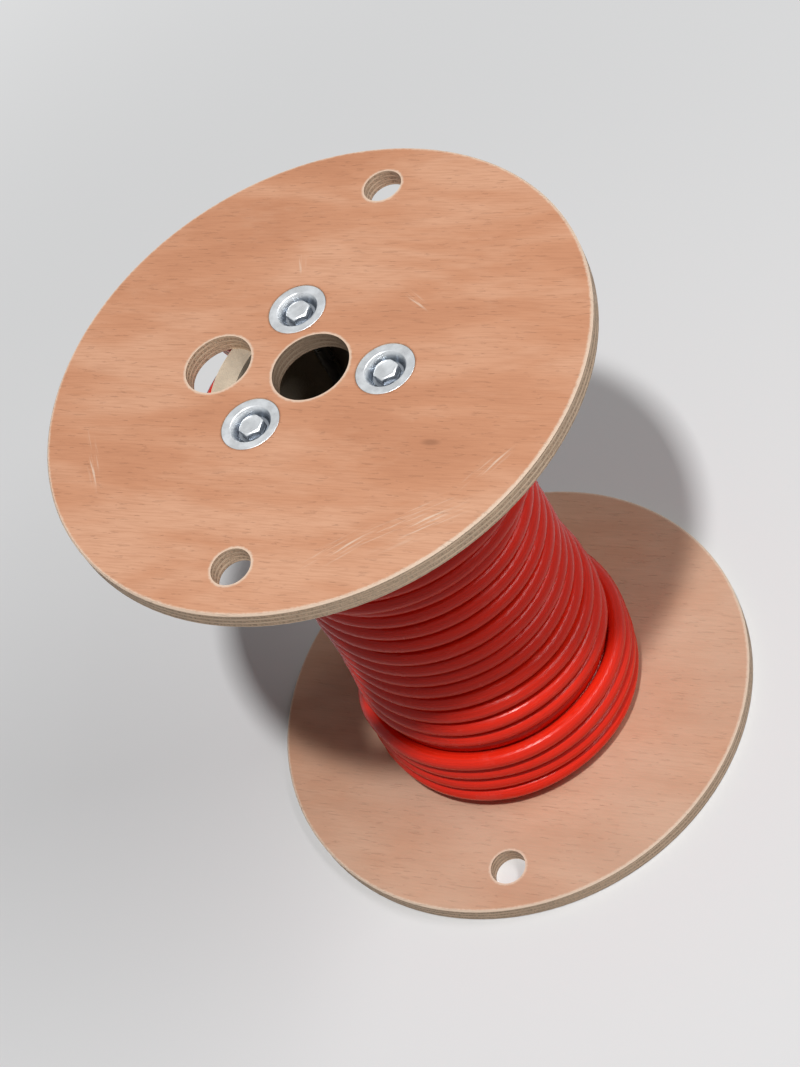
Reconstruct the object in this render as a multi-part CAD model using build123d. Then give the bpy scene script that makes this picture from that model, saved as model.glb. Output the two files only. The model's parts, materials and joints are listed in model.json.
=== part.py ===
from build123d import *
from math import sqrt
import os

# Wooden cable drum, standing on one flange, with cable left on its core.
# Millimetres. +Z runs up the drum's axis from the centre of the lower flange's outer face,
# and +X points at the first tie bolt.

# Flanges: plywood discs, the upper one turned over
flange_diameter = 355.6
flange_thickness = 12.7
flange_arris = 1.0
traverse = 373.0
arbor_bore_diameter = 50.8
drive_hole_diameter = 44.5
drive_hole_offset = 65.3
drive_hole_angle = 180.0
edge_hole_diameter = 25.4
edge_hole_offset = 145.0
upper_edge_hole_angles = (90.0, 270.0)
lower_edge_hole_angles = (106.0, 286.0)

# Core: a thick-walled tube that stands over the tie bolts
core_over_bolts = 1.4
core_wall = 15.9

# Cable: turns lie side by side, and those of the second layer in the grooves of the first
cable_diameter = 12.7
core_clearance = 0.2
lower_second_layer_turns = 7
loose_turn_groove = 9
upper_second_layer_turns = 9
crown_width = 5.0
crown_drop = 0.2
groove_depth = 3.4

# Tie bolts, with a head at the top and a thin nut at the bottom
tie_bolt_count = 3
tie_bolt_circle_diameter = 102.0
tie_bolt_diameter = 9.5
wrench_size = 14.3
head_height = 6.2
nut_height = 5.6
hex_chamfer = 0.8
hex_face_inset = 0.2
bolt_tip_chamfer = 0.8
nut_bore_clearance = 0.1
bolt_end_past_nut = 0.4

# Dished washers, pressed in until their rims are flush with the plywood
washer_diameter = 38.1
washer_thickness = 1.6
dish_mouth_diameter = 27.0
dish_floor_diameter = 20.0
head_below_face = 0.3
washer_hole_clearance = 0.4
seat_clearance = 0.2
bolt_hole_clearance = 0.6

# Worked out from the above
overall_height = traverse + 2 * flange_thickness
flange_radius = flange_diameter / 2
core_bore_diameter = tie_bolt_circle_diameter + tie_bolt_diameter + 2 * core_over_bolts
core_radius = core_bore_diameter / 2 + core_wall
bolt_circle_radius = tie_bolt_circle_diameter / 2
bolt_radius = tie_bolt_diameter / 2
dish_depth = head_height + head_below_face
turns_per_layer = int(traverse // cable_diameter)
turn_pitch = traverse / turns_per_layer
cable_radius = cable_diameter / 2
first_layer_radius = core_radius + core_clearance + cable_radius
layer_step = sqrt(cable_diameter**2 - (turn_pitch / 2) ** 2)
second_layer_radius = first_layer_radius + layer_step


def turned(points):
    """Solid of revolution about Z of a closed outline of (radius, height) points."""
    outline = make_face(Polyline(*[(r, 0, z) for r, z in points], close=True))
    return revolve(outline, Axis.Z)


def drill(diameter, offset, angle, depth):
    """Cylinder that cuts a hole through a flange lying on Z = 0."""
    place = Rot(0, 0, angle) * Pos(offset, 0, -1)
    return place * Cylinder(diameter / 2, depth + 2, align=(Align.CENTER, Align.CENTER, Align.MIN))


def bolt_angles():
    """Angle of each tie bolt about the drum's axis."""
    return [360.0 / tie_bolt_count * i for i in range(tie_bolt_count)]


def at_bolt(angle):
    """Place on the bolt circle."""
    return Rot(0, 0, angle) * Pos(bolt_circle_radius, 0, 0)


def washer_seat():
    """Cutter for a washer's seat, with the flange's outer face at Z = 0 and the wood above it."""
    rim = washer_diameter / 2 + seat_clearance
    mouth = dish_mouth_diameter / 2 + washer_thickness + seat_clearance
    floor = dish_floor_diameter / 2 + washer_thickness + seat_clearance
    hole = bolt_radius + bolt_hole_clearance
    floor_height = dish_depth + washer_thickness + seat_clearance
    points = [
        (0, -1),
        (rim, -1),
        (rim, washer_thickness),
        (mouth, washer_thickness),
        (floor, floor_height),
        (hole, floor_height),
        (hole, flange_thickness + 1),
        (0, flange_thickness + 1),
    ]
    return turned(points)


def flange(edge_hole_angles):
    """Plywood disc lying on Z = 0, with its outer face down."""
    disc = Cylinder(flange_radius, flange_thickness, align=(Align.CENTER, Align.CENTER, Align.MIN))
    rims = disc.edges().filter_by(GeomType.CIRCLE)
    disc = chamfer(rims, flange_arris)
    disc -= drill(arbor_bore_diameter, 0, 0, flange_thickness)
    disc -= drill(drive_hole_diameter, drive_hole_offset, drive_hole_angle, flange_thickness)
    for angle in edge_hole_angles:
        disc -= drill(edge_hole_diameter, edge_hole_offset, angle, flange_thickness)
    seat = washer_seat()
    for angle in bolt_angles():
        disc -= at_bolt(angle) * seat
    return disc


def turned_over(shape):
    """The same piece with its outer face up, at the top of the drum."""
    return Pos(0, 0, overall_height) * Rot(180, 0, 0) * shape


def core_tube():
    """Hollow barrel between the flanges."""
    low = flange_thickness
    high = flange_thickness + traverse
    bore = core_bore_diameter / 2
    return turned([(bore, low), (core_radius, low), (core_radius, high), (bore, high)])


def second_layer_grooves():
    """Grooves of the first layer, counted from the bottom, in which a second-layer turn lies."""
    grooves = set(range(1, lower_second_layer_turns + 1))
    grooves.add(loose_turn_groove)
    grooves.update(range(turns_per_layer - upper_second_layer_turns, turns_per_layer))
    return grooves


def outer_turns():
    """Height and centre radius of each turn that shows on the outside, from the bottom up."""
    grooves = second_layer_grooves()
    turns = [(groove * turn_pitch, second_layer_radius) for groove in grooves]
    for turn in range(turns_per_layer):
        covered = turn in grooves and turn + 1 in grooves
        if not covered:
            turns.append(((turn + 0.5) * turn_pitch, first_layer_radius))
    return sorted(turns)


def ridge(turn, below, above):
    """Outline of one outer turn, between the turns below and above it (None at a flange)."""
    height, radius = turn
    crown = radius + cable_radius - crown_drop
    stands_over_below = below is not None and below[1] < radius
    stands_over_above = above is not None and above[1] < radius
    hidden_below = below is not None and below[1] > radius
    hidden_above = above is not None and above[1] > radius
    points = []
    if stands_over_below:
        points.append((radius, height - cable_radius))
    points.append((crown, height if hidden_below else height - crown_width / 2))
    points.append((crown, height if hidden_above else height + crown_width / 2))
    if stands_over_above:
        points.append((radius, height + cable_radius))
    elif not hidden_above:
        points.append((crown - groove_depth, height + turn_pitch / 2))
    return points


def winding():
    """Turned solid of the cable left on the core, with a ridge for each outer turn."""
    bore = core_radius + core_clearance
    foot = first_layer_radius + cable_radius - crown_drop - groove_depth
    turns = outer_turns()
    points = [(bore, 0), (foot, 0)]
    for below, turn, above in zip([None] + turns, turns, turns[1:] + [None]):
        points.extend(ridge(turn, below, above))
    points.append((bore, traverse))
    return Pos(0, 0, flange_thickness) * turned(points)


def hexagon(height):
    """Hexagonal prism on Z = 0, with the corners of its upper end turned down."""
    corner_radius = wrench_size / sqrt(3)
    prism = extrude(RegularPolygon(corner_radius, 6), height)
    blank = [
        (0, 0),
        (corner_radius, 0),
        (corner_radius, height - hex_chamfer),
        (wrench_size / 2 - hex_face_inset, height),
        (0, height),
    ]
    return prism & turned(blank)


def tie_bolt():
    """Bolt with its head in the upper washer and its end just past the nut."""
    head_base = overall_height - dish_depth
    end = dish_depth - nut_height - bolt_end_past_nut
    shank = Pos(0, 0, end) * Cylinder(
        bolt_radius, head_base - end, align=(Align.CENTER, Align.CENTER, Align.MIN)
    )
    tip = shank.edges().filter_by(GeomType.CIRCLE).sort_by(Axis.Z)[0]
    shank = chamfer(tip, bolt_tip_chamfer)
    return shank + Pos(0, 0, head_base) * hexagon(head_height)


def hex_nut():
    """Thin nut that seats on the lower washer's floor, its turned end down."""
    blank = Rot(180, 0, 0) * hexagon(nut_height)
    bore = Cylinder(
        bolt_radius + nut_bore_clearance, nut_height, align=(Align.CENTER, Align.CENTER, Align.MAX)
    )
    return Pos(0, 0, dish_depth) * (blank - bore)


def dished_washer():
    """Washer for the lower flange, its rim's face on Z = 0 and its dish reaching up into the wood."""
    rim = washer_diameter / 2
    mouth = dish_mouth_diameter / 2
    floor = dish_floor_diameter / 2
    hole = bolt_radius + washer_hole_clearance
    points = [
        (hole, dish_depth),
        (floor, dish_depth),
        (mouth, 0),
        (rim, 0),
        (rim, washer_thickness),
        (mouth + washer_thickness, washer_thickness),
        (floor + washer_thickness, dish_depth + washer_thickness),
        (hole, dish_depth + washer_thickness),
    ]
    return turned(points)


def pieces():
    """Every piece of the drum by its node's name."""
    made = {
        "lower_flange": flange(lower_edge_hole_angles),
        "upper_flange": turned_over(flange([-angle for angle in upper_edge_hole_angles])),
        "core_tube": core_tube(),
        "cable_winding": winding(),
    }
    for number, angle in enumerate(bolt_angles(), start=1):
        place = at_bolt(angle)
        made[f"tie_bolt_{number}"] = place * tie_bolt()
        made[f"hex_nut_{number}"] = place * hex_nut()
        made[f"nut_washer_{number}"] = place * dished_washer()
        made[f"head_washer_{number}"] = place * turned_over(dished_washer())
    return made


os.makedirs("parts", exist_ok=True)
for name, shape in pieces().items():
    export_step(shape, f"parts/{name}.step")
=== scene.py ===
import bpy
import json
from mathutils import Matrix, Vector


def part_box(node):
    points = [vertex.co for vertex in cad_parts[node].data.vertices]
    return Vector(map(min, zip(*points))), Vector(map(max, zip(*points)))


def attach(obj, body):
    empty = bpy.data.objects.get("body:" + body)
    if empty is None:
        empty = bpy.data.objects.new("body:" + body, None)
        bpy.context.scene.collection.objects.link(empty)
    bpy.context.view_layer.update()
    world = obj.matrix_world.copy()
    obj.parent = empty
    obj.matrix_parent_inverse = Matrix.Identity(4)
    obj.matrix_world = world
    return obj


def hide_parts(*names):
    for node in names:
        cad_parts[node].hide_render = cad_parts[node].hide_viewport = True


bl_info = {
    "name": "Wooden cable drum",
    "version": (1, 0, 0),
    "blender": (4, 5, 0),
    "location": "3D View > Sidebar > Cable drum",
    "description": "Dresses a plywood cable drum and winds its red cable",
    "category": "Object",
}

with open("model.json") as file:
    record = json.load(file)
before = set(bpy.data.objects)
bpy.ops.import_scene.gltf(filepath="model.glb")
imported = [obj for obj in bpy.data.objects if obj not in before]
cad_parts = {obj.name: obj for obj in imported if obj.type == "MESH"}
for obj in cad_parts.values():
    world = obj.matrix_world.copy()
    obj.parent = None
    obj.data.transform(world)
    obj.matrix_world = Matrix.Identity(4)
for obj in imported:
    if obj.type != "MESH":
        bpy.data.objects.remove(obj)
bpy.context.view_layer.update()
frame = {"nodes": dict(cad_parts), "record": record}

import json
from math import acos, cos, inf, pi, radians, sin, tan

import bmesh
import bpy
import numpy as np
from mathutils import Matrix, Vector

BODY = "root"
BOLTS = (1, 2, 3)

# Sizes read from the frame, in metres
MOUNTS = {mount["name"]: mount for mount in frame["record"]["mounts"]}
FLANGE_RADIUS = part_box("upper_flange")[1].x
FLANGE_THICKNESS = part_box("lower_flange")[1].z
LOWER_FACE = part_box("lower_flange")[0].z
UPPER_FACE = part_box("upper_flange")[0].z
DRUM_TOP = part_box("upper_flange")[1].z
CORE_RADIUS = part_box("core_tube")[1].x
BORE_RADIUS = MOUNTS["arbor_bore"]["dims"]["r_mm"] / 1000
WASHER_RADIUS = (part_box("head_washer_1")[1].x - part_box("head_washer_1")[0].x) / 2
BOLT_CIRCLE = (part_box("head_washer_1")[1].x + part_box("head_washer_1")[0].x) / 2


def hole(name):
    """Centre and radius of a hole, from its mount."""
    mount = MOUNTS[name]
    return Vector((*mount["pos_m"][:2], 0.0)), mount["dims"]["r_mm"] / 1000


def bolt_place(number):
    """Centre of a tie bolt on the bolt circle."""
    angle = 2 * pi * (number - 1) / len(BOLTS)
    return Vector((BOLT_CIRCLE * cos(angle), BOLT_CIRCLE * sin(angle), 0.0))


# Settings

COLOUR = {"subtype": "COLOR", "size": 3, "min": 0, "max": 1}
LENGTH = {"unit": "LENGTH", "precision": 5}
POWER = {"unit": "POWER", "min": 0, "max": 1000}


class PlywoodSettings(bpy.types.PropertyGroup):
    """Colours and layers of the two plywood discs."""

    face_colour: bpy.props.FloatVectorProperty(
        name="Face", description="Sanded face veneer", default=(0.605, 0.285, 0.160), **COLOUR)
    pale_colour: bpy.props.FloatVectorProperty(
        name="Pale streaks", description="Palest wood of the face veneer",
        default=(0.690, 0.372, 0.232), **COLOUR)
    dark_colour: bpy.props.FloatVectorProperty(
        name="Dark streaks", description="Darkest wood of the face veneer",
        default=(0.520, 0.228, 0.122), **COLOUR)
    arris_colour: bpy.props.FloatVectorProperty(
        name="Arris", description="Bare wood on edges and hole rims", default=(0.800, 0.640, 0.500), **COLOUR)
    long_grain_colour: bpy.props.FloatVectorProperty(
        name="Long grain ply", description="Edge of a ply whose grain runs along it",
        default=(0.850, 0.635, 0.450), **COLOUR)
    end_grain_colour: bpy.props.FloatVectorProperty(
        name="End grain ply", description="Edge of a ply cut across its grain",
        default=(0.560, 0.385, 0.262), **COLOUR)
    dust_colour: bpy.props.FloatVectorProperty(
        name="Dust", description="Dust on the lower disc", default=(0.640, 0.465, 0.345), **COLOUR)
    ply_count: bpy.props.IntProperty(
        name="Plies", description="Layers in each disc", default=7, min=3, max=13)


class BoardSettings(bpy.types.PropertyGroup):
    """Colour and plies of the wound board core."""

    board_colour: bpy.props.FloatVectorProperty(
        name="Board", description="Bare paperboard", default=(0.640, 0.530, 0.400), **COLOUR)
    ply_thickness: bpy.props.FloatProperty(
        name="Board ply", description="Thickness of one wound layer", default=0.0008, min=0.0002, max=0.003,
        **LENGTH)
    strip_width: bpy.props.FloatProperty(
        name="Strip width", description="Width of the spiral paper strip", default=0.125, min=0.03, max=0.3,
        **LENGTH)


class CableSettings(bpy.types.PropertyGroup):
    """Size, lay and colour of the cable on the drum."""

    diameter: bpy.props.FloatProperty(
        name="Cable diameter", description="Outside the sheath", default=0.0127,
        min=0.004, max=0.02, **LENGTH)
    sides: bpy.props.IntProperty(
        name="Sides", description="Facets round the cable", default=16, min=8, max=32)
    ring_spacing: bpy.props.FloatProperty(
        name="Ring spacing", description="Step along the cable between rings of points", default=0.0058,
        min=0.002, max=0.02, **LENGTH)
    waviness: bpy.props.FloatProperty(
        name="Waviness", description="How far strands stray from their lay", default=0.0013, min=0, max=0.003,
        **LENGTH)
    slack: bpy.props.FloatProperty(
        name="Slack", description="How far the loosest strands stand off on the slack side", default=0.0075,
        min=0, max=0.02, **LENGTH)
    sheath_colour: bpy.props.FloatVectorProperty(
        name="Sheath", description="Red sheath", default=(0.860, 0.026, 0.009), **COLOUR)
    conductor_colour: bpy.props.FloatVectorProperty(
        name="Conductor", description="Cut copper at the cable's ends",
        default=(0.780, 0.330, 0.180), **COLOUR)


class HardwareSettings(bpy.types.PropertyGroup):
    """Pressings, bolts and their plating."""

    sheet_thickness: bpy.props.FloatProperty(
        name="Washer sheet", description="Thickness of the dished washers", default=0.0016, min=0.0005,
        max=0.003, **LENGTH)
    bend_radius: bpy.props.FloatProperty(
        name="Bend radius", description="Inner radius of the washers' pressed bends", default=0.0011,
        min=0.0002, max=0.003, **LENGTH)
    thread_pitch: bpy.props.FloatProperty(
        name="Thread pitch", description="Rise of the bolts' thread in one turn", default=0.0015875,
        min=0.0005, max=0.003, **LENGTH)
    thread_turns: bpy.props.IntProperty(
        name="Thread turns", description="Turns of thread on each bolt", default=24, min=4, max=60)
    zinc_colour: bpy.props.FloatVectorProperty(
        name="Zinc", description="Bright zinc plating", default=(0.800, 0.822, 0.840), **COLOUR)


class StageSettings(bpy.types.PropertyGroup):
    """Floor, lamps and camera."""

    floor_colour: bpy.props.FloatVectorProperty(
        name="Floor", description="Plain pale floor", default=(0.780, 0.785, 0.790), **COLOUR)
    lamp_power: bpy.props.FloatProperty(
        name="Lamp power", description="Power of the small lamp overhead", default=132.0, **POWER)
    strip_power: bpy.props.FloatProperty(
        name="Strip lamp power", description="Power of the long lamp to the right", default=68.0, **POWER)
    ambient: bpy.props.FloatProperty(
        name="Ambient", description="Strength of the room's even light", default=0.09, min=0, max=2)
    lens: bpy.props.FloatProperty(
        name="Lens", description="Focal length of the camera", subtype="DISTANCE_CAMERA",
        default=76.0, min=10, max=300)


# Nodes

class Field:
    """Output of a node, as a value that adds and multiplies like a number."""

    def __init__(self, tree, socket):
        self.tree = tree
        self.socket = socket

    def __add__(self, other):
        return self.math("ADD", other)

    def __sub__(self, other):
        return self.math("SUBTRACT", other)

    def __rsub__(self, other):
        return field(self.tree, "ShaderNodeMath", {0: other, 1: self}, operation="SUBTRACT")

    def __mul__(self, other):
        return self.math("MULTIPLY", other)

    def __truediv__(self, other):
        return self.math("DIVIDE", other)

    def math(self, operation, *others, clamp=False):
        """Result of a Math node on this number and others."""
        inputs = dict(enumerate((self, *others)))
        return field(self.tree, "ShaderNodeMath", inputs, operation=operation, use_clamp=clamp)

    def vector(self, operation, other):
        """Result of a Vector Math node on this vector and another."""
        return field(self.tree, "ShaderNodeVectorMath", {0: self, 1: other}, operation=operation)

    def distance(self, centre=(0, 0, 0)):
        """Distance of this place from a centre."""
        return field(self.tree, "ShaderNodeVectorMath", {0: self, 1: centre}, "Value", operation="DISTANCE")

    def part(self, axis):
        """This vector's part along an axis."""
        return field(self.tree, "ShaderNodeSeparateXYZ", {0: self}, axis)

    def fade(self, start, end):
        """Smooth step from 0 where this value is start to 1 where it is end."""
        inputs = {"Value": self, "From Min": start, "From Max": end}
        return field(self.tree, "ShaderNodeMapRange", inputs, interpolation_type="SMOOTHSTEP")

    def turned(self, turn, shift=(0, 0, 0)):
        """This place turned about Z and moved."""
        inputs = {"Vector": self, "Rotation": (0, 0, turn), "Location": shift}
        return field(self.tree, "ShaderNodeMapping", inputs)

    def noise(self, scale, shift=(0, 0, 0), turn=0.0, detail=2.0, roughness=0.5, distortion=0.0):
        """Noise from about 0.2 to 0.8 at this place, with so many grains to the metre on each axis."""
        place = self.turned(turn, shift).vector("MULTIPLY", scale)
        look = {"Detail": detail, "Roughness": roughness, "Distortion": distortion}
        return field(self.tree, "ShaderNodeTexNoise", {"Vector": place, "Scale": 1.0, **look})


def new_node(tree, kind, inputs=None, **settings):
    """A new node whose inputs are numbers or fields."""
    made = tree.nodes.new(kind)
    for name, value in settings.items():
        setattr(made, name, value)
    for key, value in (inputs or {}).items():
        if isinstance(value, Field):
            tree.links.new(value.socket, made.inputs[key])
        else:
            made.inputs[key].default_value = value
    return made


def field(tree, kind, inputs=None, output=0, **settings):
    """Field from an output of a new node."""
    return Field(tree, new_node(tree, kind, inputs, **settings).outputs[output])


def object_place(tree):
    """Place on the drum, in metres."""
    return field(tree, "ShaderNodeTexCoord", output="Object")


def facing(tree, axis):
    """How squarely the surface faces along an axis, from 0 to 1."""
    return field(tree, "ShaderNodeNewGeometry", output="True Normal").part(axis).math("ABSOLUTE")


def shade(value, factor=1.0):
    """A colour setting made darker or lighter, with its alpha."""
    return (*(min(1.0, part * factor) for part in value), 1.0)


def blend(share, below, above, strength=1.0):
    """Colour above laid over the colour below, by share times strength."""
    if strength != 1.0:
        share = share * strength
    return field(share.tree, "ShaderNodeMix", {0: share, 6: below, 7: above}, 2, data_type="RGBA")


def bumped(height, depth):
    """Normal of a surface with this height pattern, depth metres deep."""
    return field(height.tree, "ShaderNodeBump", {"Height": height, "Distance": depth, "Strength": 1.0})


def new_material(name):
    """A material with its node tree and its shader."""
    material = bpy.data.materials.new(name)
    material.use_nodes = True
    return material, material.node_tree, material.node_tree.nodes["Principled BSDF"]


def connect(shader, **sources):
    """Feeds the shader's sockets, named with underscores for spaces."""
    for name, source in sources.items():
        socket = shader.inputs[name.replace("_", " ")]
        if isinstance(source, Field):
            source.tree.links.new(source.socket, socket)
        else:
            socket.default_value = source


def dress(node, material):
    """Gives a piece or a CAD node one material."""
    node.data.materials.clear()
    node.data.materials.append(material)


# Plywood

# Scuffs on the upper face: middle along and across the grain in flange radii, angle of the strokes
# in degrees, and half length and half width in metres
SCUFFS = (
    (0.60, -0.60, 32, 0.046, 0.016),
    (0.36, -0.72, 40, 0.030, 0.010),
    (0.78, -0.38, 55, 0.026, 0.007),
    (-0.70, -0.44, -58, 0.034, 0.006),
    (-0.20, 0.46, -70, 0.012, 0.004),
    (0.30, 0.30, -35, 0.018, 0.005),
)
# Each disc's side, the height of its lower face, where its patterns are taken from, its knot's place
# along and across the grain in flange radii, its scuffs and its share of dust
DISCS = (
    ("upper", UPPER_FACE, (0.31, 0.12, 0.0), (0.552, -0.293), SCUFFS, 0.0),
    ("lower", LOWER_FACE, (0.93, 0.57, 0.0), (-0.30, 0.62), (), 0.60),
)
# How far the worn edges stray, in metres
EDGE_JITTER = 0.0022
# Waves of figure over the veneer's broadest pattern
RING_WAVES = 95.0


def face_grain(settings, place, seed):
    """Colour and height of the rotary cut face veneer, with its grain along X."""
    broad = place.noise((7, 26, 1), seed, detail=3, roughness=0.55, distortion=0.4)
    figure = place.noise((2.6, 12, 1), seed, detail=1.5, roughness=0.4, distortion=0.6)
    rings = (figure * RING_WAVES).math("SINE")
    blotch = place.noise((24, 60, 1), seed, detail=4, roughness=0.6)
    fibre = place.noise((46, 900, 40), seed, detail=3, roughness=0.6)
    pores = place.noise((85, 620, 40), seed, distortion=0.3).fade(0.63, 0.70)
    dark = shade(settings.dark_colour)
    wood = blend(broad.fade(0.44, 0.68), shade(settings.face_colour), shade(settings.pale_colour))
    wood = blend(broad.fade(0.50, 0.30), wood, dark, 0.60)
    wood = blend(rings.fade(0.35, 1.0), wood, dark, 0.07)
    wood = blend(blotch.fade(0.52, 0.72), wood, shade(settings.pale_colour), 0.35)
    wood = blend(fibre.fade(0.58, 0.36), wood, shade(settings.dark_colour, 0.85), 0.30)
    wood = blend(pores, wood, shade(settings.dark_colour, 0.55), 0.13)
    return wood, fibre - pores * 0.8


def ply_edge(settings, place, base, seed):
    """Colour and height of the plies on a cut edge, from the height of the disc's lower face, with painted
    shade on the walls of the arbor bore.
    """
    wave = place.noise((30, 30, 30), seed)
    level = (place.part("Z") - base) / (FLANGE_THICKNESS / settings.ply_count) + (wave - 0.5) * 0.45
    crossed = level.math("FLOOR").math("PINGPONG", 1.0)
    within = level.math("FRACT")
    glue = within.fade(0.10, 0.0).math("ADD", within.fade(0.90, 1.0), clamp=True)
    end_share = (crossed - facing(place.tree, "X")).math("ABSOLUTE")
    long_grain = place.noise((70, 70, 1100), seed, detail=3)
    end_grain = place.noise((900, 900, 420), seed, detail=3, roughness=0.7)
    smudge = place.noise((16, 16, 40), seed, detail=4)
    out = place.vector("MULTIPLY", (1, 1, 0)).distance()
    light_ply, dark_ply = settings.long_grain_colour, settings.end_grain_colour
    light = blend(long_grain.fade(0.35, 0.65), shade(light_ply, 0.80), shade(light_ply))
    deep = blend(end_grain.fade(0.35, 0.62), shade(dark_ply, 0.62), shade(dark_ply, 1.25))
    wood = blend(end_share.fade(0.10, 0.95), light, deep)
    wood = blend(glue, wood, shade(dark_ply, 0.40), 0.65)
    wood = blend(smudge.fade(0.50, 0.75), wood, shade(dark_ply, 0.75), 0.30)
    # Painted shade: darkens the cut walls of the arbor bore, where little light reaches.
    wood = blend(out.fade(BORE_RADIUS + 0.003, BORE_RADIUS + 0.001), wood, shade(dark_ply, 0.30), 0.60)
    return wood, end_grain * 0.8 - glue


def rim_distance(flat, holes):
    """Distance from the nearest hole's edge."""
    nearest = 1.0
    for centre, radius in holes:
        nearest = (flat.distance(centre) - radius).math("ABSOLUTE").math("MINIMUM", nearest)
    return nearest


def away_from(flat, along, across):
    """Place on the face from a mark, whose own place is given in flange radii."""
    return flat.vector("SUBTRACT", (along * FLANGE_RADIUS, across * FLANGE_RADIUS, 0))


def knot(flat, along, across):
    """Share of dark heart and of the darker wood round it, at a knot on the face."""
    reach = away_from(flat, along, across).vector("MULTIPLY", (1.0, 2.6, 1.0)).distance()
    return reach.fade(0.0085, 0.0020), reach.fade(0.030, 0.006)


def scuff(flat, along, across, angle, length, width):
    """Share of one scuff, a patch of fine pale strokes that lie one way and thin out at its edge."""
    away = away_from(flat, along, across).turned(-radians(angle))
    strokes = away.noise((24, 520, 1), detail=3, roughness=0.6, distortion=0.5)
    reach = away.vector("MULTIPLY", (1 / length, 1 / width, 1)).distance()
    return strokes.fade(0.50, 0.66) * reach.fade(1.0, 0.2)


def plywood(name, settings, base, seed, holes, seats, knot_place, marks, dust):
    """Plywood of one disc: face veneer, cut edges, worn rims, painted shade round the washer seats, a knot,
    scuffs and a share of pale dust.
    """
    material, tree, shader = new_material(name)
    place = object_place(tree)
    flat = place.vector("MULTIPLY", (1, 1, 0))
    wood, face_height = face_grain(settings, place, seed)
    edge_wood, edge_height = ply_edge(settings, place, base, seed)

    heart, halo = knot(flat, *knot_place)
    wood = blend(halo, wood, shade(settings.dark_colour), 0.35)
    wood = blend(heart, wood, shade(settings.dark_colour, 0.45), 0.50)
    for mark in marks:
        wood = blend(scuff(flat, *mark), wood, shade(settings.arris_colour), 0.65)
    settled = place.noise((11, 14, 1), seed, detail=4).fade(0.25, 0.70) * 0.5 + 0.5
    wood = blend(settled, wood, shade(settings.dust_colour), dust)

    jitter = (place.noise((420, 420, 1), seed, detail=3, roughness=0.7) - 0.5) * EDGE_JITTER
    broken = (rim_distance(flat, holes) + jitter).fade(0.0022, 0.0004)
    wood = blend(broken, wood, shade(settings.arris_colour), 0.75)
    # Painted shade: a dark ring in the gap round each washer's rim, where the washer sits in its seat.
    pressed = (rim_distance(flat, seats) + jitter).fade(0.0016, 0.0002)
    wood = blend(pressed, wood, shade(settings.dark_colour, 0.60), 0.55)
    arris = (flat.distance() + jitter).fade(FLANGE_RADIUS - 0.0026, FLANGE_RADIUS - 0.0006)
    wood = blend(arris, wood, shade(settings.arris_colour), 0.85)

    on_edge = facing(tree, "Z").fade(0.5, 0.3)
    wood = blend(on_edge, wood, edge_wood)
    height = field(tree, "ShaderNodeMix", {0: on_edge, 2: face_height, 3: edge_height})
    rough = place.noise((30, 90, 30), seed, detail=3).fade(0.3, 0.7) * 0.18 + 0.52
    connect(shader, Base_Color=wood, Roughness=rough, Normal=bumped(height, 0.00022), Specular_IOR_Level=0.30)
    return material


def finish_flanges(settings):
    """Gives both discs their plywood."""
    seats = [(bolt_place(number), WASHER_RADIUS) for number in BOLTS]
    for side, base, seed, knot_place, marks, dust in DISCS:
        holes = [hole(name) for name in MOUNTS if name.startswith(side + "_")] + [hole("arbor_bore")]
        material = plywood(side + "_plywood", settings, base, seed, holes, seats, knot_place, marks, dust)
        dress(frame["nodes"][side + "_flange"], material)


# Core board

def core_board(settings):
    """Paperboard wound in a spiral, with its plies showing as rings on its ends, and painted shade on the
    walls inside its bore.
    """
    material, tree, shader = new_material("core_board")
    place = object_place(tree)
    out = place.vector("MULTIPLY", (1, 1, 0)).distance()
    ring = (out / settings.ply_thickness + place.noise((60, 60, 60))).math("PINGPONG", 0.5)
    angle = place.part("Y").math("ARCTAN2", place.part("X")) / (2 * pi)
    seam = (place.part("Z") / settings.strip_width + angle).math("FRACT")
    on_end = facing(tree, "Z").fade(0.4, 0.6)
    on_wall = 1.0 - on_end
    fibres = place.noise((800, 800, 800), detail=4, roughness=0.7)
    cloud = place.noise((35, 35, 35), detail=3)
    bare = settings.board_colour
    board = blend(cloud.fade(0.35, 0.65), shade(bare, 0.85), shade(bare, 1.12))
    board = blend(fibres.fade(0.55, 0.70), board, shade(bare, 0.55), 0.4)
    rings = ring.fade(0.18, 0.0) * on_end
    board = blend(rings, board, shade(bare, 0.45), 0.6)
    seams = (seam - 0.5).math("ABSOLUTE").fade(0.012, 0.004) * on_wall
    board = blend(seams, board, shade(bare, 0.35), 0.7)
    # Painted shade: darkens the walls inside the core's bore, where little light reaches.
    inside = out.fade(CORE_RADIUS - 0.006, CORE_RADIUS - 0.010) * on_wall
    board = blend(inside, board, shade(bare, 0.20), 0.40)
    height = fibres - (rings + seams)
    connect(shader, Base_Color=board, Roughness=0.85, Normal=bumped(height, 0.00018))
    return material


# Cable

# The first layer is wound down the core from the top, and what is left of the second is wound up again:
# a block at the bottom, a long step up behind, and a block at the top.
# Places round the drum and counts along the cable are both in turns, from +X towards +Y.
FIRST_LAYER_TURNS = 25.464
SECOND_LAYER_TURNS = 12.42
CLIMB_PLACE = 12 / 360
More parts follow.
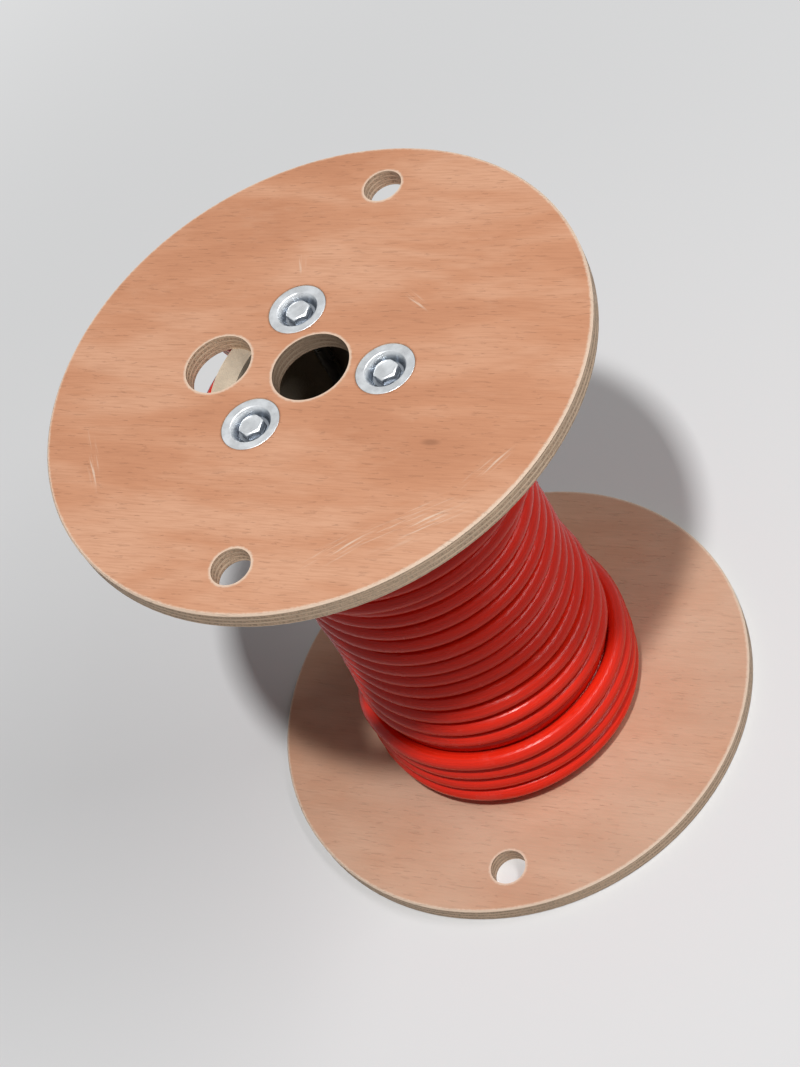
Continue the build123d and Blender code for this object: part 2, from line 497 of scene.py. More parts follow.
# Uneven spacing of the first layer's strands, in cable diameters, from the bottom turn up
STRAND_SPACING = (
    1.12, 1.12, 1.12, 1.12, 1.13, 1.18, 1.18, 1.22, 1.10, 1.06, 1.07, 1.06, 1.25, 1.15, 1.25, 1.10,
    1.10, 1.04, 1.02, 1.02, 1.02, 1.02, 1.02, 1.02, 1.20, 1.70,
)
BLOCK_TURNS = 4
HOP_WIDTH = 0.15
FIRST_HOP = 0.55
FIRST_HOP_GROOVES = 1.5
SIDE_HOP = 0.133
BACK_HOP = 0.55
LONG_STEP = 4.37
LONG_STEP_WIDTH = 0.50
LONG_STEP_GROOVES = 15
# How far the long step rides over the strands that it crosses, in cable diameters, and its ends, in turns
CROSSING_RISE = 0.05
CROSSING_END = 0.06
CORE_CLEARANCE = 0.0002
POINTS_PER_TURN = 90
# Points each side over which a rise is evened out
SMOOTHING = 4
# Waves round the drum in the unevenness of the lay, about how far they reach together, and their seeds
RIPPLE_WAVES = (1, 2, 3, 5, 7)
RIPPLE_REACH = 1.9
OUTWARD_SEED = 11
UPWARD_SEED = 5
# Share of the waviness in the first layer, whose strands lie tighter
FIRST_LAYER_WAVINESS = 0.4
# Share of the half height, next to a flange, in which the flange holds the strands level
HELD_SHARE = 0.25
# Where the winding is slack: height over the floor in metres, and share of the slack
SLACK_HEIGHTS = (0.0, 0.020, 0.045, 0.075, 0.090, 0.110, 0.136, 0.165, 0.250, 0.300, 0.400)
SLACK_SHARES = (0.30, 0.45, 0.75, 0.60, 0.75, 0.85, 0.65, 0.42, 0.32, 0.10, 0.0)
SLACK_SIDE = 18 / 360
SLACK_NARROWNESS = 1.5
# Loose turns over the lower block, which stand off all round: height over the floor and distance, in metres
LOOSE_HEIGHTS = (0.079, 0.090, 0.108, 0.124, 0.150)
LOOSE_DISTANCES = (0.0, 0.0045, 0.0042, 0.0024, 0.0)
# Ridges where the wires show through the sheath: how many there are round it, and their spacing in metres
RIDGES_AROUND = 18.0
RIDGE_SPACING = 0.0075
RUBBED_RED = (0.86, 0.22, 0.15, 1.0)
DUSTY_RED = (0.45, 0.30, 0.26, 1.0)


def smooth_step(value):
    """Smooth rise from 0 to 1."""
    value = np.clip(value, 0, 1)
    return value * value * (3 - 2 * value)


def first_layer_heights(turns, diameter):
    """Height of the first layer's strand after this many turns down from the upper flange."""
    low = FLANGE_THICKNESS + diameter / 2
    high = UPPER_FACE - diameter / 2
    marks = np.concatenate([[0.0], np.cumsum(STRAND_SPACING)])
    counts = np.arange(len(marks))
    whole = np.interp(FIRST_LAYER_TURNS, counts, marks)
    return low + (high - low) * np.interp(FIRST_LAYER_TURNS - turns, counts, marks) / whole


def hops():
    """Where the second layer's strand hops over strands of the first: centre, width, grooves gained."""
    found = [(FIRST_HOP, HOP_WIDTH, FIRST_HOP_GROOVES)]
    for turn in range(1, int(SECOND_LAYER_TURNS) + 1):
        if turn == BLOCK_TURNS:
            found.append((LONG_STEP, LONG_STEP_WIDTH, LONG_STEP_GROOVES))
            continue
        found.append((turn + SIDE_HOP, HOP_WIDTH, 1))
        found.append((turn + BACK_HOP, HOP_WIDTH, 1))
    return found


def second_layer_heights(turns, diameter):
    """Height of the second layer's strand, which lies in a groove of the first between two hops."""
    gained = np.zeros_like(turns)
    for centre, width, grooves in hops():
        gained += grooves * smooth_step((turns - centre) / width + 0.5)
    groove = np.clip(FIRST_LAYER_TURNS + turns - gained, 0, FIRST_LAYER_TURNS)
    return first_layer_heights(groove, diameter)


def rise_over_first_layer(turns, heights, diameter):
    """How far the second layer's strand stands out past the first, from the strands that it lies on."""
    rise = np.zeros_like(turns)
    for wound in range(int(FIRST_LAYER_TURNS + SECOND_LAYER_TURNS) + 2):
        below = FIRST_LAYER_TURNS + turns - wound
        there = (below >= 0) & (below <= FIRST_LAYER_TURNS)
        gap = heights - first_layer_heights(np.clip(below, 0, FIRST_LAYER_TURNS), diameter)
        reach = np.sqrt(np.maximum(diameter**2 - gap**2, 0))
        rise = np.where(there, np.maximum(rise, reach), rise)
    crossing = smooth_step((LONG_STEP_WIDTH / 2 - np.abs(turns - LONG_STEP)) / CROSSING_END)
    rise += CROSSING_RISE * diameter * crossing
    window = np.hanning(2 * SMOOTHING + 1)
    window /= window.sum()
    return np.convolve(np.pad(rise, SMOOTHING, mode="edge"), window, mode="valid")


def ripple(places, heights, seed):
    """Slow unevenness of the lay, from about -1 to 1, alike for strands that lie side by side."""
    draw = np.random.default_rng(seed)
    total = np.zeros_like(places)
    for around in RIPPLE_WAVES:
        phase, climb = draw.uniform(0, 2 * pi), draw.uniform(18, 55)
        total += np.sin(2 * pi * around * places + climb * heights + phase) / around
    return total / RIPPLE_REACH


def stand_off(places, heights, slack):
    """How far the winding stands off where it is slack towards one side, and where its turns are loose."""
    towards = 0.5 + 0.5 * np.cos(2 * pi * (places - SLACK_SIDE))
    slack_side = slack * towards**SLACK_NARROWNESS * np.interp(heights, SLACK_HEIGHTS, SLACK_SHARES)
    return slack_side + np.interp(heights, LOOSE_HEIGHTS, LOOSE_DISTANCES)


def cable_route(settings):
    """Centre line of the whole cable, as an array of points."""
    diameter = settings.diameter
    first = np.arange(0, FIRST_LAYER_TURNS, 1 / POINTS_PER_TURN)
    second = np.arange(0, SECOND_LAYER_TURNS, 1 / POINTS_PER_TURN)
    upper = second_layer_heights(second, diameter)
    places = CLIMB_PLACE + np.concatenate([first - FIRST_LAYER_TURNS, second])
    heights = np.concatenate([first_layer_heights(first, diameter), upper])
    rise = np.concatenate([np.zeros_like(first), rise_over_first_layer(second, upper, diameter)])
    wander = np.concatenate([np.full_like(first, FIRST_LAYER_WAVINESS), np.ones_like(second)])
    radii = CORE_RADIUS + CORE_CLEARANCE + diameter / 2 + rise
    radii += settings.waviness * wander * (1 + ripple(places, heights * 3, OUTWARD_SEED))
    radii += stand_off(places, heights, settings.slack)
    middle = (FLANGE_THICKNESS + UPPER_FACE) / 2
    room = (UPPER_FACE - FLANGE_THICKNESS) / 2 - diameter / 2
    free = np.clip((1 - np.abs(heights - middle) / room) / HELD_SHARE, 0, 1)
    heights = heights + settings.waviness * free * ripple(places, heights, UPWARD_SEED)
    angles = 2 * pi * places
    return np.stack([radii * np.cos(angles), radii * np.sin(angles), heights], axis=1)


def new_tree(name, inputs):
    """A Geometry Nodes tree with inputs of these names and kinds, and the inputs as fields."""
    tree = bpy.data.node_groups.new(name, "GeometryNodeTree")
    inputs = {"Geometry": "Geometry", **inputs}
    for label, kind in inputs.items():
        tree.interface.new_socket(label, in_out="INPUT", socket_type="NodeSocket" + kind)
    tree.interface.new_socket("Geometry", in_out="OUTPUT", socket_type="NodeSocketGeometry")
    sockets = tree.nodes.new("NodeGroupInput").outputs
    return tree, {label: Field(tree, sockets[label]) for label in inputs}


def kept(geometry, name, value):
    """Geometry that carries a value along under a name, and that value as it is carried."""
    tree = geometry.tree
    capture = new_node(tree, "GeometryNodeCaptureAttribute", {"Geometry": geometry})
    capture.capture_items.new("FLOAT", name)
    tree.links.new(value.socket, capture.inputs[name])
    return Field(tree, capture.outputs["Geometry"]), Field(tree, capture.outputs[name])


def painted(geometry, material, selection=True):
    """Geometry with a material on its selected faces."""
    inputs = {"Geometry": geometry, "Selection": selection, "Material": material}
    return field(geometry.tree, "GeometryNodeSetMaterial", inputs)


def end_tree(geometry):
    """Makes this geometry the result of its tree."""
    result = geometry.tree.nodes.new("NodeGroupOutput")
    geometry.tree.links.new(geometry.socket, result.inputs["Geometry"])


def run_tree(piece, tree, values):
    """Runs a tree on a piece with these inputs and leaves the result as its plain mesh."""
    modifier = piece.modifiers.new(tree.name, "NODES")
    modifier.node_group = tree
    for item in tree.interface.items_tree:
        if item.in_out == "INPUT" and item.name in values:
            modifier[item.identifier] = values[item.name]
    graph = bpy.context.evaluated_depsgraph_get()
    mesh = bpy.data.meshes.new_from_object(
        piece.evaluated_get(graph), preserve_all_data_layers=True, depsgraph=graph)
    piece.modifiers.remove(modifier)
    piece.data = mesh


def new_piece(name, vertices, edges=(), faces=()):
    """A mesh object at the origin."""
    mesh = bpy.data.meshes.new(name)
    mesh.from_pydata([tuple(point) for point in vertices], list(edges), list(faces))
    piece = bpy.data.objects.new(name, mesh)
    bpy.context.scene.collection.objects.link(piece)
    return piece


def wound_cable_tree():
    """Cable along a line of edges: round sheath, closed ends, and its lay kept for the sheath's finish."""
    tree, given = new_tree("wound_cable", {
        "Diameter": "Float",
        "Sides": "Int",
        "Ring Spacing": "Float",
        "Sheath": "Material",
        "Conductor": "Material",
    })
    line = field(tree, "GeometryNodeMeshToCurve", {"Mesh": given["Geometry"]})
    line = field(tree, "GeometryNodeResampleCurve", {"Curve": line, "Length": given["Ring Spacing"]},
                 mode="LENGTH")
    line = field(tree, "GeometryNodeSetCurveNormal", {"Curve": line}, mode="Z_UP")
    line, along = kept(line, "Along", field(tree, "GeometryNodeSplineParameter", output="Length"))
    ring = field(tree, "GeometryNodeCurvePrimitiveCircle",
                 {"Resolution": given["Sides"], "Radius": given["Diameter"] * 0.5}, mode="RADIUS")
    turned = field(tree, "GeometryNodeSplineParameter", output="Factor") * (2 * pi)
    ring, around = kept(ring, "Around", turned)
    tube = field(tree, "GeometryNodeCurveToMesh", {"Curve": line, "Profile Curve": ring, "Fill Caps": True})
    lay = field(tree, "ShaderNodeCombineXYZ",
                {"X": around.math("COSINE"), "Y": around.math("SINE"), "Z": along})
    tube = field(tree, "GeometryNodeStoreNamedAttribute", {"Geometry": tube, "Name": "lay", "Value": lay},
                 data_type="FLOAT_VECTOR", domain="POINT")
    corners = field(tree, "GeometryNodeInputMeshFaceNeighbors", output="Vertex Count")
    cap = field(tree, "FunctionNodeCompare", {2: corners, 3: 4}, data_type="INT", operation="GREATER_THAN")
    tube = field(tree, "GeometryNodeRealizeInstances", {"Geometry": tube})
    tube = painted(tube, given["Sheath"])
    end_tree(painted(tube, given["Conductor"], cap))
    return tree


def sheath(settings):
    """Smooth red sheath, rubbed paler here and there, with faint ridges of the strands inside."""
    material, tree, shader = new_material("red_sheath")
    place = object_place(tree)
    lay = field(tree, "ShaderNodeAttribute", output="Vector", attribute_name="lay")
    drawn = lay.noise((5, 5, 9), detail=3, roughness=0.6)
    rubs = lay.noise((2.2, 2.2, 60), detail=4, roughness=0.65)
    dust = place.noise((28, 28, 28), detail=5, roughness=0.65)
    grain = place.noise((1500, 1500, 1500))
    red = blend(drawn.fade(0.35, 0.65), shade(settings.sheath_colour, 0.86), shade(settings.sheath_colour))
    red = blend(rubs.fade(0.60, 0.78), red, RUBBED_RED, 0.22)
    red = blend(dust.fade(0.55, 0.80), red, DUSTY_RED, 0.10)
    angle = lay.part("Y").math("ARCTAN2", lay.part("X"))
    ridges = (angle * RIDGES_AROUND + lay.part("Z") * (2 * pi / RIDGE_SPACING)).math("SINE")
    height = drawn * 1.2 + ridges * 0.10 + grain * 0.25
    rough = rubs.fade(0.5, 0.75) * 0.14 + 0.22 + dust.fade(0.5, 0.8) * 0.12
    connect(shader, Base_Color=red, Roughness=rough, Normal=bumped(height, 0.00010), Specular_IOR_Level=0.20)
    return material


def conductor(settings):
    """Cut end of the stranded conductor inside its ring of sheath, by distance from the cable's middle, with
    painted shade in the gaps between the wires.
    """
    material, tree, shader = new_material("cut_conductor")
    place = object_place(tree).vector("MULTIPLY", (560, 560, 560))
    wires = field(tree, "ShaderNodeTexVoronoi", {"Vector": place, "Scale": 1.0}, "Distance")
    bare = settings.conductor_colour
    # Painted shade: dark in the gaps between the wires, which the flat cut end does not model.
    copper = blend(wires.fade(0.35, 0.60), shade(bare), shade(bare, 0.15))
    lay = field(tree, "ShaderNodeAttribute", output="Vector", attribute_name="lay")
    ring = lay.vector("MULTIPLY", (1, 1, 0)).distance().fade(0.64, 0.68)
    cut = blend(ring, copper, shade(settings.sheath_colour, 0.90))
    connect(shader, Base_Color=cut, Metallic=1.0 - ring, Roughness=0.38)
    return material


def wind_cable(settings):
    """Winds the cable on the core, in place of the plain winding."""
    route = cable_route(settings)
    edges = [(point, point + 1) for point in range(len(route) - 1)]
    piece = new_piece("red_cable", route, edges)
    run_tree(piece, wound_cable_tree(), {
        "Diameter": settings.diameter,
        "Sides": settings.sides,
        "Ring Spacing": settings.ring_spacing,
        "Sheath": sheath(settings),
        "Conductor": conductor(settings),
    })
    piece.data.shade_smooth()
    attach(piece, BODY)
    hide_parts("cable_winding")


# Hardware

# Dish of the washers, in metres, as the seats in the plywood have it, and the broken edges of the sheet
WASHER_HOLE = 0.00515
DISH_FLOOR = 0.0100
DISH_MOUTH = 0.0135
HOLE_EDGE = 0.0003
RIM_EDGE = 0.0004
UNDER_RIM = 0.0006
# Painted shade laid over the zinc down in the washers' dishes
PAINTED_DISH_SHADE = (0.200, 0.225, 0.262, 1.0)
# Bolts, in metres
SHANK_RADIUS = 0.00475
THREAD_DEPTH = 0.00085
TIP_CHAMFER = 0.0008
WRENCH_SIZE = 0.0143
HEAD_HEIGHT = 0.0062
HEAD_CHAMFER = 0.0013
WASHER_FACE = 0.0004
# Radii of the head's washer face and of its turned top, in wrench sizes
WASHER_FACE_REACH = 0.47
TOP_REACH = 0.455
# Shallow hollow on top of the head: depth in metres and radius in wrench sizes
HEAD_HOLLOW = ((0.0002, 0.43), (0.0005, 0.36), (0.0006, 0.18), (0.0006, 0.0))
# Thread: half the width of its ridge in pitches, and the cone between its root and the shank in metres
RIDGE_WIDTH = 0.42
THREAD_END = 0.001
# Facets of turned shapes, and the angle past which an edge stays sharp
WASHER_FACETS = 72
HEAD_FACETS = 96
SHANK_FACETS = 32
THREAD_FACETS = 28
FILLET_STEP = radians(15)
SHARP_ANGLE = radians(30)


def zinc(settings):
    """Bright zinc plating, clouded, stained and finely scratched, with painted shade down in the dishes."""
    material, tree, shader = new_material("zinc_plate")
    place = object_place(tree)
    cloud = place.noise((120, 120, 120), detail=4, roughness=0.6)
    spangle = place.noise((700, 700, 700))
    stain = place.noise((260, 260, 260), (0.4, 0.1, 0.2), detail=5, roughness=0.7)
    scratches = place.noise((160, 3200, 400), turn=0.6)
    bright = settings.zinc_colour
    metal = blend(cloud.fade(0.35, 0.65), shade(bright, 0.84), shade(bright))
    stained = stain.fade(0.58, 0.75) * 0.45
    metal = blend(stained, metal, shade(bright, 0.50))
    # Painted shade: the zinc darkens with depth below the discs' outer faces, down in the dishes.
    level = place.part("Z")
    depth = (DRUM_TOP - level).math("MINIMUM", level - LOWER_FACE)
    metal = blend(depth.fade(0.0010, 0.0040), metal, PAINTED_DISH_SHADE, 0.80)
    rough = cloud.fade(0.3, 0.7) * 0.16 + 0.26 + stained * 0.35
    relief = bumped(spangle + scratches * 0.6, 0.00003)
    connect(shader, Base_Color=metal, Metallic=1.0, Roughness=rough, Normal=relief)
    return material


def rounded(corners):
    """Closed outline of (radius, height) points, from corners given as radius, height and fillet radius."""
    outline = []
    for index, (r, z, fillet) in enumerate(corners):
        corner = np.array([r, z])
        before = np.array(corners[index - 1][:2]) - corner
        after = np.array(corners[(index + 1) % len(corners)][:2]) - corner
        before /= np.linalg.norm(before)
        after /= np.linalg.norm(after)
        half = acos(float(np.clip(before @ after, -1, 1))) / 2
        centre = corner + (before + after) / np.linalg.norm(before + after) * fillet / sin(half)
        start = corner + before * fillet / tan(half) - centre
        turn = pi - 2 * half
        hand = np.sign(before[1] * after[0] - before[0] * after[1])
        steps = max(2, round(turn / FILLET_STEP))
        for step in range(steps + 1):
            angle = hand * turn * step / steps
            outline.append(centre + np.array([
                start[0] * cos(angle) - start[1] * sin(angle),
                start[0] * sin(angle) + start[1] * cos(angle),
            ]))
    return outline


def lathe(outline, segments, closed=True, flats=None):
    """Vertices and faces of an outline turned about Z, and cut to a hexagon where its flats are given."""
    count = len(outline)
    vertices = []
    for segment in range(segments):
        angle = 2 * pi * segment / segments
        off_flat = (angle + pi / 6) % (pi / 3) - pi / 6
        reach = flats / 2 / cos(off_flat) if flats else inf
        vertices += [(min(r, reach) * cos(angle), min(r, reach) * sin(angle), z) for r, z in outline]
    faces = []
    for segment in range(segments):
        here, there = segment * count, (segment + 1) % segments * count
        for index in range(count if closed else count - 1):
            after = (index + 1) % count
            faces.append((here + index, there + index, there + after, here + after))
    return vertices, faces


def finish_mesh(piece, material):
    """Merges the mesh's doubles, points its faces outwards and shades its round parts smooth."""
    mesh = bmesh.new()
    mesh.from_mesh(piece.data)
    bmesh.ops.remove_doubles(mesh, verts=mesh.verts, dist=1e-6)
    bmesh.ops.dissolve_degenerate(mesh, edges=mesh.edges, dist=1e-7)
    bmesh.ops.recalc_face_normals(mesh, faces=mesh.faces)
    mesh.to_mesh(piece.data)
    mesh.free()
    piece.data.shade_smooth()
    piece.data.set_sharp_from_angle(angle=SHARP_ANGLE)
    dress(piece, material)


def at_bolt(vertices, number, level=0.0, up=1):
    """Points of a shape set at a tie bolt's place and a level, turned over where up is -1."""
    centre = bolt_place(number)
    return [(x + centre.x, y + centre.y, level + up * z) for x, y, z in vertices]


def washer_outline(settings, node):
    """Pressed washer with its rim's face at the level of the plywood, its dish down from there."""
    low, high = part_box(node)
    sheet = settings.sheet_thickness
    depth = high.z - low.z - sheet
    rim = (high.x - low.x) / 2
    inner = settings.bend_radius
    return rounded([
        (WASHER_HOLE, -depth, HOLE_EDGE),
        (DISH_FLOOR, -depth, inner),
        (DISH_MOUTH, 0.0, inner),
        (rim, 0.0, RIM_EDGE),
        (rim, -sheet, RIM_EDGE),
        (DISH_MOUTH + sheet, -sheet, UNDER_RIM),
        (DISH_FLOOR + sheet, -depth - sheet, inner + sheet),
        (WASHER_HOLE, -depth - sheet, HOLE_EDGE),
    ])


def press_washers(settings, material):
    """Six dished washers, rims flush with the outer faces of the discs."""
    for number in BOLTS:
        sides = ((f"head_washer_{number}", DRUM_TOP, 1), (f"nut_washer_{number}", LOWER_FACE, -1))
        for node, level, up in sides:
            vertices, faces = lathe(washer_outline(settings, node), WASHER_FACETS)
            piece = new_piece(node + "_pressed", at_bolt(vertices, number, level, up), faces=faces)
            finish_mesh(piece, material)
            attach(piece, BODY)
            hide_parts(node)


def bolt_tree():
    """Bolt from its head and shank: adds the ridge of a helical thread at its lower end."""
    tree, given = new_tree("threaded_bolt", {
        "Place": "Vector",
        "Shank Radius": "Float",
        "Thread Depth": "Float",
        "Pitch": "Float",
        "Turns": "Float",
        "Material": "Material",
    })
    root = given["Shank Radius"] - given["Thread Depth"]
    helix = field(tree, "GeometryNodeCurveSpiral", {
        "Resolution": THREAD_FACETS,
        "Rotations": given["Turns"],
        "Start Radius": root,
        "End Radius": root,
        "Height": given["Turns"] * given["Pitch"],
    })
    helix = field(tree, "GeometryNodeSetCurveNormal", {"Curve": helix}, mode="Z_UP")
    ridge = field(tree, "GeometryNodeCurvePrimitiveCircle", {"Resolution": 4, "Radius": 1.0}, mode="RADIUS")
    size = field(tree, "ShaderNodeCombineXYZ",
                 {"X": given["Thread Depth"], "Y": given["Pitch"] * RIDGE_WIDTH, "Z": 1.0})
    ridge = field(tree, "GeometryNodeTransform", {"Geometry": ridge, "Scale": size})
    thread = field(tree, "GeometryNodeCurveToMesh",
                   {"Curve": helix, "Profile Curve": ridge, "Fill Caps": True})
    thread = field(tree, "GeometryNodeTransform", {"Geometry": thread, "Translation": given["Place"]})
    joined = new_node(tree, "GeometryNodeJoinGeometry")
    for part in (thread, given["Geometry"]):
        tree.links.new(part.socket, joined.inputs["Geometry"])
    whole = field(tree, "GeometryNodeRealizeInstances", {"Geometry": Field(tree, joined.outputs["Geometry"])})
    end_tree(painted(whole, given["Material"]))
    return tree


def head_outline(base):
    """Head with a washer face under it, its corners turned down and a shallow hollow on top."""
    top = base + HEAD_HEIGHT
    corner = WRENCH_SIZE / 2 / cos(pi / 6)
    under = WRENCH_SIZE * WASHER_FACE_REACH
    outline = [
        (SHANK_RADIUS, base),
        (under, base),
        (under, base + WASHER_FACE),
        (corner, base + WASHER_FACE),
        (corner, top - HEAD_CHAMFER),
    ]
    for share in (0.2, 0.4, 0.6, 0.8, 1.0):
        turned = corner - (corner - WRENCH_SIZE * TOP_REACH) * share**1.4
        outline.append((turned, top - HEAD_CHAMFER * (1 - share)))
    outline += [(WRENCH_SIZE * reach, top - depth) for depth, reach in HEAD_HOLLOW]
    return outline


def shank_outline(end, base, settings):
    """Shank from its turned tip to the head: thread root below, full size above."""
    root = SHANK_RADIUS - THREAD_DEPTH
    thread_end = end + settings.thread_pitch * settings.thread_turns
    return [
        (0.0, end),
        (root - TIP_CHAMFER, end),
        (root, end + TIP_CHAMFER),
        (root, thread_end),
        (SHANK_RADIUS, thread_end + THREAD_END),
        (SHANK_RADIUS, base),
    ]


def turn_bolts(settings, material):
    """Three tie bolts with turned heads and threads."""
    tree = bolt_tree()
    for number in BOLTS:
        low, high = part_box(f"tie_bolt_{number}")
        base = high.z - HEAD_HEIGHT
        vertices, faces = lathe(head_outline(base), HEAD_FACETS, closed=False, flats=WRENCH_SIZE)
        shank, sides = lathe(shank_outline(low.z, base, settings), SHANK_FACETS, closed=False)
        faces += [tuple(index + len(vertices) for index in face) for face in sides]
        vertices += shank
        piece = new_piece(f"tie_bolt_{number}_turned", at_bolt(vertices, number), faces=faces)
        finish_mesh(piece, material)
        centre = bolt_place(number)
        run_tree(piece, tree, {
            "Place": (centre.x, centre.y, low.z + TIP_CHAMFER),
            "Shank Radius": SHANK_RADIUS,
            "Thread Depth": THREAD_DEPTH,
            "Pitch": settings.thread_pitch,
            "Turns": settings.thread_turns - 1.0,
            "Material": material,
        })
        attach(piece, BODY)
        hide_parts(f"tie_bolt_{number}")


def plate_nuts(material):
    """Gives the three nuts their plating."""
    for number in BOLTS:
        dress(frame["nodes"][f"hex_nut_{number}"], material)


# Stage

CAMERA_PLACE = (3.7968 * FLANGE_RADIUS, -4.0282 * FLANGE_RADIUS, DRUM_TOP + 5.3354 * FLANGE_RADIUS)
PHOTO_RIGHT = (0.99838, 0.0, -0.05698)
PHOTO_UP = (0.04766, 0.54809, 0.83506)
LOOK_AT = (-0.0143, 0.0037, 0.2107)
LAMP_DISTANCE = 4.4
LAMP_DIRECTION = (0.22, -0.30, 1.0)
LAMP_SIZE = (0.25, 0.25)
STRIP_DIRECTION = (0.75, 0.25, 1.0)
STRIP_SIZE = (3.3, 0.5)
FLOOR_REACH = 12.0
# Distances from the drum's axis between which the floor's own pale takes over from its shading
FLOOR_FADE = (0.5, 1.5)
# Share of its colour with which the floor lights the drum from below
FLOOR_BOUNCE = 0.45


def pale_to_camera(surface, pale):
    """Shows pale to the camera and in reflections, and lets surface light the rest."""
    tree = surface.tree
    rays = tree.nodes.new("ShaderNodeLightPath").outputs
    seen = Field(tree, rays["Is Camera Ray"])
    for ray in ("Is Glossy Ray", "Is Transmission Ray"):
        seen = seen.math("MAXIMUM", Field(tree, rays[ray]))
    return field(tree, "ShaderNodeMixShader", {0: seen, 1: surface, 2: pale})


def lay_floor(settings):
    """Plain pale floor that keeps the drum's shadow and far off meets the room without a line."""
    material, tree, shader = new_material("pale_floor")
    tree.nodes.remove(shader)
    pale_colour = shade(settings.floor_colour)
    dim = field(tree, "ShaderNodeBsdfDiffuse", {"Color": shade(settings.floor_colour, FLOOR_BOUNCE)})
    near = field(tree, "ShaderNodeBsdfDiffuse", {"Color": pale_colour})
    far = field(tree, "ShaderNodeEmission", {"Color": pale_colour})
    far_share = object_place(tree).distance().fade(*FLOOR_FADE)
    pale = field(tree, "ShaderNodeMixShader", {0: far_share, 1: near, 2: far})
    tree.links.new(pale_to_camera(dim, pale).socket, tree.nodes["Material Output"].inputs["Surface"])
    corners = [(x * FLOOR_REACH, y * FLOOR_REACH, 0) for x, y in ((-1, -1), (1, -1), (1, 1), (-1, 1))]
    floor = new_piece("floor", corners, faces=[(0, 1, 2, 3)])
    dress(floor, material)


def hang_lamp(name, direction, size, power):
    """A lamp that faces the drum from this direction, with its length level."""
    lamp = bpy.data.lights.new(name, "AREA")
    lamp.shape = "RECTANGLE"
    lamp.size, lamp.size_y = size
    lamp.energy = power
    away = Vector(direction).normalized()
    level = Vector((0, 0, 1)).cross(away).normalized()
    pose = Matrix((level, away.cross(level), away)).transposed()
    holder = bpy.data.objects.new(name, lamp)
    holder.matrix_world = Matrix.Translation(Vector(LOOK_AT) + away * LAMP_DISTANCE) @ pose.to_4x4()
    bpy.context.scene.collection.objects.link(holder)


def light_room(settings):
    """A small lamp overhead, a long one to the right, and a pale even room."""
    world = bpy.data.worlds.new("pale_room")
    bpy.context.scene.world = world
    world.use_nodes = True
    tree = world.node_tree
    room = tree.nodes["Background"]
    room.inputs["Color"].default_value = (1, 1, 1, 1)
    room.inputs["Strength"].default_value = settings.ambient
    pale = field(tree, "ShaderNodeBackground", {"Color": shade(settings.floor_colour), "Strength": 1.0})
    seen = pale_to_camera(Field(tree, room.outputs["Background"]), pale)
    tree.links.new(seen.socket, tree.nodes["World Output"].inputs["Surface"])
    hang_lamp("overhead_lamp", LAMP_DIRECTION, LAMP_SIZE, settings.lamp_power)
    hang_lamp("strip_lamp", STRIP_DIRECTION, STRIP_SIZE, settings.strip_power)


def place_camera(settings):
    """Camera where the photographer's was, turned the shortest way to face the drum."""
    camera = bpy.data.cameras.new("camera")
    camera.sensor_width = 36.0
    camera.lens = settings.lens
    camera.clip_start = 0.05
    camera.clip_end = 60.0
    holder = bpy.data.objects.new("camera", camera)
    right, up = Vector(PHOTO_RIGHT).normalized(), Vector(PHOTO_UP).normalized()
    back = right.cross(up)
    pose = Matrix((right, up, back)).transposed()
    sight = Vector(LOOK_AT) - Vector(CAMERA_PLACE)
    turn = (-back).rotation_difference(sight).to_matrix()
    holder.matrix_world = Matrix.Translation(CAMERA_PLACE) @ (turn @ pose).to_4x4()
    bpy.context.scene.collection.objects.link(holder)
    bpy.context.scene.camera = holder


# Operators

class DRUM_OT_stage(bpy.types.Operator):
    """Lays the floor, hangs the lamps and sets the camera"""

    bl_idname = "drum.stage"
    bl_label = "Stage"

    def execute(self, context):
        settings = context.scene.drum_stage
        context.scene.view_settings.view_transform = "Standard"
        lay_floor(settings)
        light_room(settings)
        place_camera(settings)
        return {"FINISHED"}


class DRUM_OT_flanges(bpy.types.Operator):
    """Finishes the two plywood discs"""

    bl_idname = "drum.flanges"
    bl_label = "Plywood discs"

    def execute(self, context):
        finish_flanges(context.scene.drum_plywood)
        return {"FINISHED"}


class DRUM_OT_core(bpy.types.Operator):
    """Finishes the wound board core"""

    bl_idname = "drum.core"
    bl_label = "Board core"

    def execute(self, context):
        dress(frame["nodes"]["core_tube"], core_board(context.scene.drum_board))
        return {"FINISHED"}


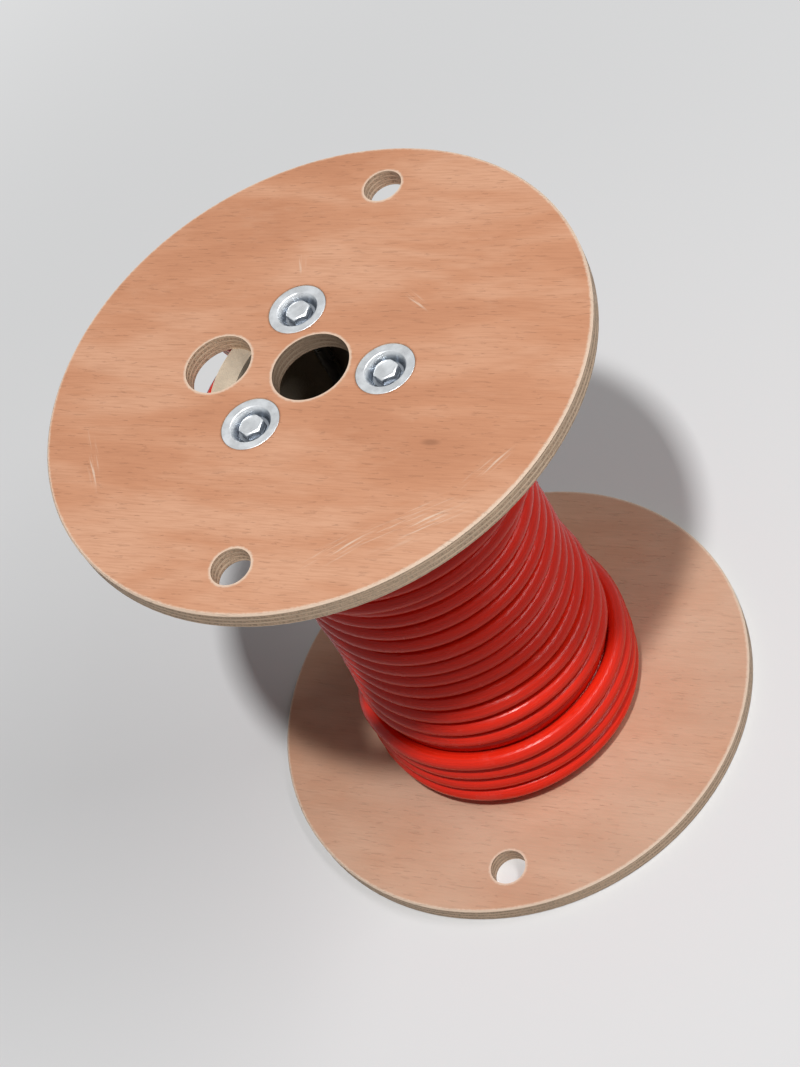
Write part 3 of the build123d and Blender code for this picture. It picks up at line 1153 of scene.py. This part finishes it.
class DRUM_OT_cable(bpy.types.Operator):
    """Winds the red cable on the core"""

    bl_idname = "drum.cable"
    bl_label = "Cable"

    def execute(self, context):
        wind_cable(context.scene.drum_cable)
        return {"FINISHED"}


class DRUM_OT_hardware(bpy.types.Operator):
    """Presses the dished washers, turns the tie bolts and plates the nuts"""

    bl_idname = "drum.hardware"
    bl_label = "Washers, bolts and nuts"

    def execute(self, context):
        settings = context.scene.drum_hardware
        material = zinc(settings)
        press_washers(settings, material)
        turn_bolts(settings, material)
        plate_nuts(material)
        return {"FINISHED"}


class DRUM_PT_sidebar(bpy.types.Panel):
    """Steps that dress the cable drum"""

    bl_idname = "DRUM_PT_sidebar"
    bl_label = "Cable drum"
    bl_space_type = "VIEW_3D"
    bl_region_type = "UI"
    bl_category = "Cable drum"

    def draw(self, context):
        for operator in OPERATORS:
            self.layout.operator(operator.bl_idname)
        for name, group in SETTINGS.items():
            box = self.layout.box()
            for setting in group.__annotations__:
                box.prop(getattr(context.scene, name), setting)


OPERATORS = (DRUM_OT_stage, DRUM_OT_flanges, DRUM_OT_core, DRUM_OT_cable, DRUM_OT_hardware)
SETTINGS = {
    "drum_plywood": PlywoodSettings,
    "drum_board": BoardSettings,
    "drum_cable": CableSettings,
    "drum_hardware": HardwareSettings,
    "drum_stage": StageSettings,
}


def register():
    for group in SETTINGS.values():
        bpy.utils.register_class(group)
    for operator in OPERATORS:
        bpy.utils.register_class(operator)
    bpy.utils.register_class(DRUM_PT_sidebar)
    for name, group in SETTINGS.items():
        setattr(bpy.types.Scene, name, bpy.props.PointerProperty(type=group))


def unregister():
    for name in SETTINGS:
        delattr(bpy.types.Scene, name)
    bpy.utils.unregister_class(DRUM_PT_sidebar)
    for operator in reversed(OPERATORS):
        bpy.utils.unregister_class(operator)
    for group in reversed(list(SETTINGS.values())):
        bpy.utils.unregister_class(group)


def main():
    """Registers the steps and dresses the drum with them."""
    register()
    bpy.ops.drum.stage()
    bpy.ops.drum.flanges()
    bpy.ops.drum.core()
    bpy.ops.drum.cable()
    bpy.ops.drum.hardware()


if __name__ == "__main__":
    main()
